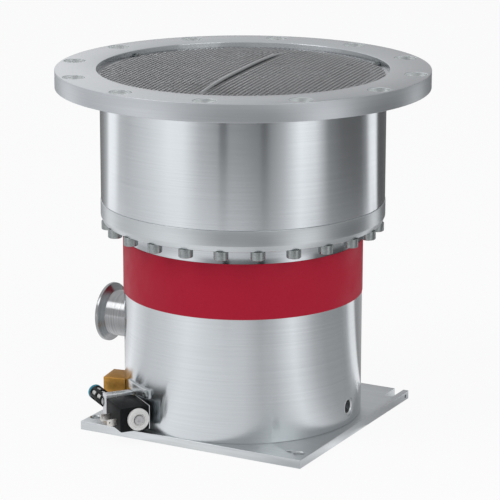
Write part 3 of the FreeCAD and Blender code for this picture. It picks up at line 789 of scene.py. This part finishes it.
def base_plate():
    """Plate with the front mounting holes and taps, the slots at the back and the hole in its right edge."""
    plate = block("base_plate_milled", plate_low, plate_high)
    front_y, back_y = [mount_middle[1] + way * mount_spacing[1] / 2 for way in (-1, 1)]
    depth = plate_top + past
    bm = bmesh.new()
    lathe_into(bm, drill(plate_opening, -past, plate_top + past), 128)
    for side in (-1, 1):
        x = mount_middle[0] + side * mount_spacing[0] / 2
        hole_into(bm, mount_hole, depth, Matrix.Translation((x, front_y, plate_top)), 0.8)
        tap = Matrix.Translation((x - side * tap_inset, front_y, plate_top))
        hole_into(bm, tap_radius, depth, tap, 0.3, 32)
        slot_into(bm, x, back_y, plate_high.y + 2, mount_hole)
    cut(plate, bm)
    bm = bmesh.new()
    edge = along((plate_high.x, plate_high.y - edge_hole_inset, plate_top / 2), (1, 0, 0))
    hole_into(bm, edge_hole, edge_hole_depth, edge, 0.25, 32)
    cut(plate, bm)
    dress(plate, plate_metal, ["base_plate"])


def slot_into(bm, x, inner, outer, radius):
    """A slot that is open towards +Y, through the plate."""
    loop = [(x - radius, outer), (x - radius, inner)]
    loop += [(x - radius * math.cos(math.pi * j / 24), inner - radius * math.sin(math.pi * j / 24))
             for j in range(1, 24)]
    loop += [(x + radius, inner), (x + radius, outer)]
    loft_into(bm, [[Vector((px, py, z)) for px, py in loop] for z in (-past, plate_top + past)])


def bottom():
    """Cover under the pump with its ring of screws."""
    outline = [(0, cover_low), (cover_radius, cover_low), (cover_radius, cover_high), (0, cover_high)]
    cover = lathe("bottom_cover_turned", rounded(outline, 0.5), 128)
    dress(cover, plate_metal, ["bottom_cover"])
    head = rounded([(0, 0), (4.2, 0), (3.6, 1.6), (1.7, 1.6), (1.6, 0.6), (0, 0.6)], 0.2)
    bm = bmesh.new()
    for k in range(cover_screw_count):
        spot = along((cover_screw_circle, 0, cover_low + 0.1), (0, 0, -1))
        lathe_into(bm, head, 32, about_z(360.0 * k / cover_screw_count) @ spot)
    screws = from_bmesh("cover_screws", bm)
    dress(screws, screw_metal)


# Valve group

def in_valve(matrix=Matrix.Identity(4)):
    return about_z(valve_turn) @ matrix


def valve_axis(start):
    """Along the coil's axis from a place u."""
    return in_valve(along((start, *coil_axis), (1, 0, 0)))


def valve_body():
    low, high = (valve_u[0], coil_v[0], coil_z[0]), (valve_u[1], coil_v[1], valve_top)
    body = block("valve_block", low, high, 0.6, in_valve())
    dress(body, valve_metal, ["valve_body"])


def coil():
    """Moulded coil with rounded edges and the bore for the core tube, and its yoke on the housing's side."""
    low, high = (coil_u[0], coil_v[0], coil_z[0]), (coil_u[1], coil_v[1], coil_z[1])
    body = block("coil_moulding", low, high, 1.6, in_valve(), 4)
    cut_one(body, drill(core_radius + 0.1, -past, 40), 48, valve_axis(coil_u[0]))
    dress(body, black_plastic, ["valve_coil"])
    low = (coil_u[0], coil_v[1], coil_z[0] + 0.5)
    high = (coil_u[1] + 0.6, coil_v[1] + yoke_thickness, coil_z[1] + 0.5)
    yoke = block("coil_yoke", low, high, 0.25, in_valve())
    dress(yoke, valve_metal)


def nut():
    """White ring nut with a groove in its face, and the tube's metal end in its middle."""
    place = valve_axis(coil_u[1])
    outline = [(4.5, 0), (9.8, 0), (10.0, 0.6), (10.0, 3.2), (9.2, 4.0), (7.4, 4.0), (7.0, 3.5), (6.6, 4.0),
               (5.8, 4.0), (5.4, 3.0), (4.5, 3.0)]
    ring = lathe("ring_nut", rounded(outline, 0.2), 96, place)
    dress(ring, white_plastic, ["valve_nut"])
    outline = [(0, -38.0), (core_radius, -38.0), (core_radius, 4.2), (core_radius - 0.4, 4.6), (1.2, 4.6),
               (0.9, 4.2), (0, 4.2)]
    end = lathe("core_tube_turned", rounded(outline, 0.15), 64, place)
    dress(end, stainless, ["core_tube"])


def terminals():
    """Two flat spades with cut corners at the tip and a hole."""
    tip, root, (low, high) = coil_v[0] - spade_reach, coil_v[0], spade_z
    loop = [(root, low), (tip + 1.0, low), (tip, low + 1.2), (tip, high - 1.2), (tip + 1.0, high),
            (root, high)]
    blades, holes = bmesh.new(), bmesh.new()
    for u in spade_places:
        sides = [[in_valve() @ Vector((side, v, z)) for v, z in loop] for side in (u, u + spade_thickness)]
        loft_into(blades, sides)
        middle = (u, coil_v[0] - spade_hole_reach, (low + high) / 2)
        lathe_into(holes, drill(spade_hole, -past, 3), 24, in_valve(along(middle, (1, 0, 0))))
    tabs = from_bmesh("spade_terminals", blades)
    cut(tabs, holes)
    dress(tabs, tin_plate, ["coil_terminals"])


def muffler():
    """Cage with windows over a white element, and the cap."""
    radius, wall, length, cap = 6.8, 1.2, 31.0, 5.0
    count, rows, width, gap = 6, 2, 3.8, 2.4
    body_length = length - cap
    window = (body_length - (rows + 1) * gap) / rows
    place = in_valve(along((valve_u[0], *muffler_axis), (-1, 0, 0)))
    cage = lathe("muffler_cage_moulded", tube(radius - wall, radius, 0, body_length), 72, place)
    bm = bmesh.new()
    for row in range(rows):
        start = gap + row * (window + gap)
        for k in range(count):
            slot = place @ about_z(360.0 * k / count + 30.0) @ Matrix.Translation((radius, 0, start))
            block_into(bm, (-3.0, -width / 2, 0), (2.0, width / 2, window), 0.5, slot, 2)
    cut(cage, bm)
    dress(cage, black_plastic, ["muffler_cage"])
    core = lathe("muffler_core", bar(radius - wall - 0.1, body_length, 0.2), 48, place)
    dress(core, white_felt, ["muffler_element"])
    outline = [(0, 0), (radius, 0), (radius, 3.6), (radius - 1.2, cap), (2.0, cap), (1.6, cap - 0.8),
               (0, cap - 0.8)]
    tip = lathe("muffler_end", rounded(outline, 0.4), 72, place @ Matrix.Translation((0, 0, body_length)))
    dress(tip, blue_plastic, ["muffler_cap"])


def brass_block():
    """Brass block, its back cut to the housing's curve."""
    place = Matrix.Translation(brass_corner) @ about_z(brass_turn)
    body = block("brass_manifold", (0, 0, brass_z[0]), (*brass_size, brass_z[1]), 0.5, place)
    cut_one(body, drill(lower_radius, 0, 80), 256)
    dress(body, brass_metal, ["brass_block"])


def bracket():
    """Strap round the housing over the valve, and the screw that holds it."""
    low, high, outer = valve_top + 0.2, valve_top + 8.2, lower_radius + strap_thickness
    bm = bmesh.new()
    lathe_into(bm, tube(lower_radius, outer, low, high, 0.25), 48,
               start=math.radians(strap_from), sweep=math.radians(strap_sweep))
    strip = from_bmesh("valve_strap", bm)
    dress(strip, valve_metal, ["valve_bracket"])
    head = rounded([(0, 0), (3.4, 0), (3.4, 2.2), (2.8, 3.0), (1.4, 3.0), (1.2, 1.6), (0, 1.6)], 0.2)
    spot = about_z(strap_screw_at) @ along((outer, 0, (low + high) / 2), (1, 0, 0))
    screw = lathe("strap_screw", head, 40, spot)
    dress(screw, screw_metal, ["bracket_screw"])


# Connector

def connector_place(stand, y=0.0, z=0.0):
    """On the connector's axis, so far out of the housing's wall, or beside the axis."""
    return about_z(connector_turn) @ along((lower_radius + stand, y, connector_height + z), (1, 0, 0))


def connector():
    """Round socket on its square flange at the back, with four screws and the pins."""
    low, high = connector_height - connector_half, connector_height + connector_half
    flange = block("connector_plate", (connector_root, -connector_half, low),
                   (lower_radius + connector_stand, connector_half, high), 0.6, about_z(connector_turn))
    bm = bmesh.new()
    lathe_into(bm, drill(lower_radius, 0, 150), 256)
    lathe_into(bm, drill(connector_bore, -3, 30), 64, connector_place(connector_stand))
    cut(flange, bm)
    dress(flange, connector_metal, ["electrical_connector"])
    out = connector_place(connector_stand - 2.0)
    outline = [(connector_bore, 0), (connector_shell, 0), (connector_shell, 10.6),
               (connector_shell - 0.4, 11.2), (connector_shell, 11.8), (connector_shell, 15.0),
               (connector_bore, 15.0)]
    shell = lathe("connector_shell", rounded(outline, 0.3), 96, out)
    dress(shell, connector_metal)
    insert = lathe("connector_insert", bar(connector_bore - 0.1, 2.0, 0.2), 64, out)
    dress(insert, black_plastic)
    bm = bmesh.new()
    for k in range(pin_count):
        spot = on_circle(pin_circle, TURN * k / pin_count, 1.5)
        lathe_into(bm, bar(0.9, 9.0, 0.5), 16, out @ Matrix.Translation(spot))
    pins = from_bmesh("connector_pins", bm)
    dress(pins, brass_metal)
    head = rounded([(0, -1), (2.7, -1), (2.7, 1.8), (2.3, 2.4), (1.5, 2.4), (1.4, 1.2), (0, 1.2)], 0.15)
    reach = connector_half - 4.0
    bm = bmesh.new()
    for y in (-reach, reach):
        for z in (-reach, reach):
            lathe_into(bm, head, 32, connector_place(connector_stand, y, z))
    screws = from_bmesh("connector_screws", bm)
    dress(screws, screw_metal)


def inside():
    """Materials of the CAD nodes that stay as they are."""
    finishes = (
        (inner_metal, ("stator_disc_1", "stator_disc_2", "drag_stator", "spindle_housing", "turbine_rotor",
                       "drag_drum")),
        (magnet_metal, ("radial_magnets", "thrust_magnets", "motor_stator", "rotor_shaft",
                        "touchdown_bearings")),
        (screw_metal, ("rotor_clamp_screw", "valve_plunger", "valve_spring")),
        (brass_metal, ("vent_nipple",)))
    for paint, names in finishes:
        for name in names:
            repaint(name, paint)


# Studio

def seen_rays(tree):
    """1 for the rays that show the background: the camera's, and those off metal and through glass."""
    path = node(tree, "ShaderNodeLightPath")
    total = path.outputs["Is Camera Ray"]
    for kind in ("Is Glossy Ray", "Is Transmission Ray"):
        either = node(tree, "ShaderNodeMath", operation="MAXIMUM")
        tree.links.new(total, either.inputs[0])
        tree.links.new(path.outputs[kind], either.inputs[1])
        total = either.outputs[0]
    return total


def studio_world():
    """A pale studio. The camera and the metal see plain white."""
    world = bpy.data.worlds.new("studio")
    bpy.context.scene.world = world
    world.use_nodes = True
    tree = world.node_tree
    tree.nodes.clear()
    out = node(tree, "ShaderNodeOutputWorld")
    studio = node(tree, "ShaderNodeBackground")
    studio.inputs["Color"].default_value = (0.97, 0.98, 1.0, 1)
    studio.inputs["Strength"].default_value = 0.62
    white = node(tree, "ShaderNodeBackground")
    white.inputs["Color"].default_value = (1, 1, 1, 1)
    mixed = node(tree, "ShaderNodeMixShader")
    tree.links.new(seen_rays(tree), mixed.inputs["Fac"])
    tree.links.new(studio.outputs[0], mixed.inputs[1])
    tree.links.new(white.outputs[0], mixed.inputs[2])
    tree.links.new(mixed.outputs[0], out.inputs["Surface"])


def floor():
    """White floor that keeps a faint shadow of the object."""
    bm = bmesh.new()
    bmesh.ops.create_circle(bm, cap_ends=True, segments=96, radius=floor_radius)
    ground = from_bmesh("floor", bm)
    ground.location.z = -floor_drop * MM
    made, tree, shader = material("white_floor", (0.90, 0.90, 0.90), 0.9, 0.0)
    glow = node(tree, "ShaderNodeEmission")
    glow.inputs["Color"].default_value = (1, 1, 1, 1)
    share = node(tree, "ShaderNodeMath", operation="MULTIPLY")
    share.inputs[1].default_value = 0.9
    tree.links.new(seen_rays(tree), share.inputs[0])
    mixed = node(tree, "ShaderNodeMixShader")
    tree.links.new(share.outputs[0], mixed.inputs["Fac"])
    tree.links.new(shader.outputs[0], mixed.inputs[1])
    tree.links.new(glow.outputs[0], mixed.inputs[2])
    tree.links.new(mixed.outputs[0], tree.nodes["Material Output"].inputs["Surface"])
    ground.data.materials.append(made)


def reflection_boards():
    """Grey and white boards that lie and stand round the object and give bright metal its bands. Only
    reflections show them. Each list is brightness by azimuth, in degrees from the front."""
    near = ((-180, 0.60), (-150, 0.50), (-132, 0.85), (-118, 1.15), (-92, 0.82), (-70, 0.92), (-48, 1.15),
            (-22, 1.00), (0, 0.88), (14, 0.66), (24, 0.72), (42, 1.15), (62, 0.62), (74, 0.48), (98, 0.42),
            (106, 0.55), (112, 1.10), (121, 1.10), (125, 0.30), (140, 0.40), (179.9, 0.60))
    far = ((-180, 0.20), (-160, 0.20), (-148, 0.28), (-137, 0.60), (-131, 1.35), (-120, 1.30), (-112, 0.72),
           (-101, 0.66), (-80, 0.95), (-58, 1.34), (-46, 1.26), (-32, 0.56), (-18, 0.30), (-17, 0.02),
           (-12, 0.02), (-11, 0.30), (13, 0.16), (14, 0.02), (18, 0.02), (19, 0.20), (30, 0.54), (44, 1.45),
           (56, 1.24), (68, 0.28), (82, 0.13), (104, 0.12), (112, 0.30), (118, 1.25), (129, 1.35),
           (133, 0.12), (148, 0.12), (179.9, 0.20))
    standing = ((-180, 0.66), (-171, 0.88), (-150, 0.95), (-60, 0.80), (0, 0.65), (60, 0.60), (150, 0.42),
                (171, 0.48), (179.9, 0.66))
    reflection_board("near_boards", (near_radius, board_height), (far_radius, board_height), near)
    reflection_board("far_boards", (far_radius, board_height), (wall_radius, board_height), far)
    reflection_board("standing_boards", (wall_radius, board_height), (wall_radius, wall_height), standing)


def reflection_board(name, inner, outer, stops):
    """A ring of boards between two (radius, height) points that glows by azimuth."""
    bm = bmesh.new()
    segments = 360
    rings = [[bm.verts.new(on_circle(r, TURN * k / segments, z)) for r, z in (inner, outer)]
             for k in range(segments)]
    for k in range(segments):
        a, b = rings[k], rings[(k + 1) % segments]
        bm.faces.new((a[0], b[0], b[1], a[1]))
    boards = from_bmesh(name, bm)
    boards.data.materials.append(azimuth_glow(name, stops))
    for kind in ("camera", "diffuse", "transmission", "shadow", "volume_scatter"):
        setattr(boards, "visible_" + kind, False)


def azimuth_glow(name, stops):
    """A glow whose brightness follows the angle round the object, from the front."""
    made = bpy.data.materials.new(name)
    made.use_nodes = True
    tree = made.node_tree
    tree.nodes.clear()
    out = node(tree, "ShaderNodeOutputMaterial")
    place = node(tree, "ShaderNodeTexCoord")
    split = node(tree, "ShaderNodeSeparateXYZ")
    tree.links.new(place.outputs["Object"], split.inputs["Vector"])
    angle = node(tree, "ShaderNodeMath", operation="ARCTAN2")
    tree.links.new(split.outputs["Y"], angle.inputs[0])
    tree.links.new(split.outputs["X"], angle.inputs[1])
    shifted = node(tree, "ShaderNodeMath", operation="SUBTRACT")
    tree.links.new(angle.outputs[0], shifted.inputs[0])
    shifted.inputs[1].default_value = math.radians(front_azimuth)
    wrapped = node(tree, "ShaderNodeMath", operation="WRAP")
    tree.links.new(shifted.outputs[0], wrapped.inputs[0])
    wrapped.inputs[1].default_value = math.pi
    wrapped.inputs[2].default_value = -math.pi
    share = node(tree, "ShaderNodeMapRange")
    share.inputs["From Min"].default_value = -math.pi
    share.inputs["From Max"].default_value = math.pi
    tree.links.new(wrapped.outputs[0], share.inputs["Value"])
    ramp = node(tree, "ShaderNodeValToRGB")
    elements = ramp.color_ramp.elements
    while len(elements) < len(stops):
        elements.new(0.5)
    for element, (degrees, grey) in zip(elements, stops):
        element.position = (degrees + 180) / 360
        element.color = (grey, grey, grey * 1.02, 1)
    tree.links.new(share.outputs["Result"], ramp.inputs["Fac"])
    glow = node(tree, "ShaderNodeEmission")
    tree.links.new(ramp.outputs["Color"], glow.inputs["Color"])
    tree.links.new(glow.outputs[0], out.inputs["Surface"])
    made.cycles.emission_sampling = "NONE"
    return made


def lamp(name, place, power, width):
    """A square lamp that points at the middle of the pump."""
    light = bpy.data.lights.new(name, "AREA")
    light.energy = power
    light.size = width
    obj = bpy.data.objects.new(name, light)
    obj.location = place
    obj.rotation_mode = "QUATERNION"
    obj.rotation_quaternion = (Vector((0, 0, 0.16)) - Vector(place)).to_track_quat("-Z", "Y")
    bpy.context.scene.collection.objects.link(obj)


def camera():
    data = bpy.data.cameras.new("camera")
    data.lens = camera_lens
    data.sensor_width = 36.0
    data.clip_end = 50.0
    obj = bpy.data.objects.new("camera", data)
    bpy.context.scene.collection.objects.link(obj)
    turn = Matrix.Rotation(math.radians(camera_yaw), 4, "Z")
    tilt = Matrix.Rotation(math.radians(90.0 - camera_pitch), 4, "X")
    roll = Matrix.Rotation(math.radians(camera_roll), 4, "Z")
    obj.matrix_world = Matrix.Translation(camera_place) @ turn @ tilt @ roll
    bpy.context.scene.camera = obj


upper_housing()
lower_housing()
side_bushing()
red_band()
joint_screws()
screen_cloth()
screen_ring()
screen_rod()
screen_clips()
exhaust()
base_plate()
valve_body()
coil()
nut()
terminals()
muffler()
brass_block()
bracket()
connector()
bottom()
inside()

studio_world()
floor()
reflection_boards()
lamp("key", (-1.2, -1.6, 1.9), 12.0, 1.2)
lamp("fill", (1.8, -0.8, 1.4), 8.0, 1.4)
camera()
bpy.context.scene.view_settings.view_transform = "Standard"
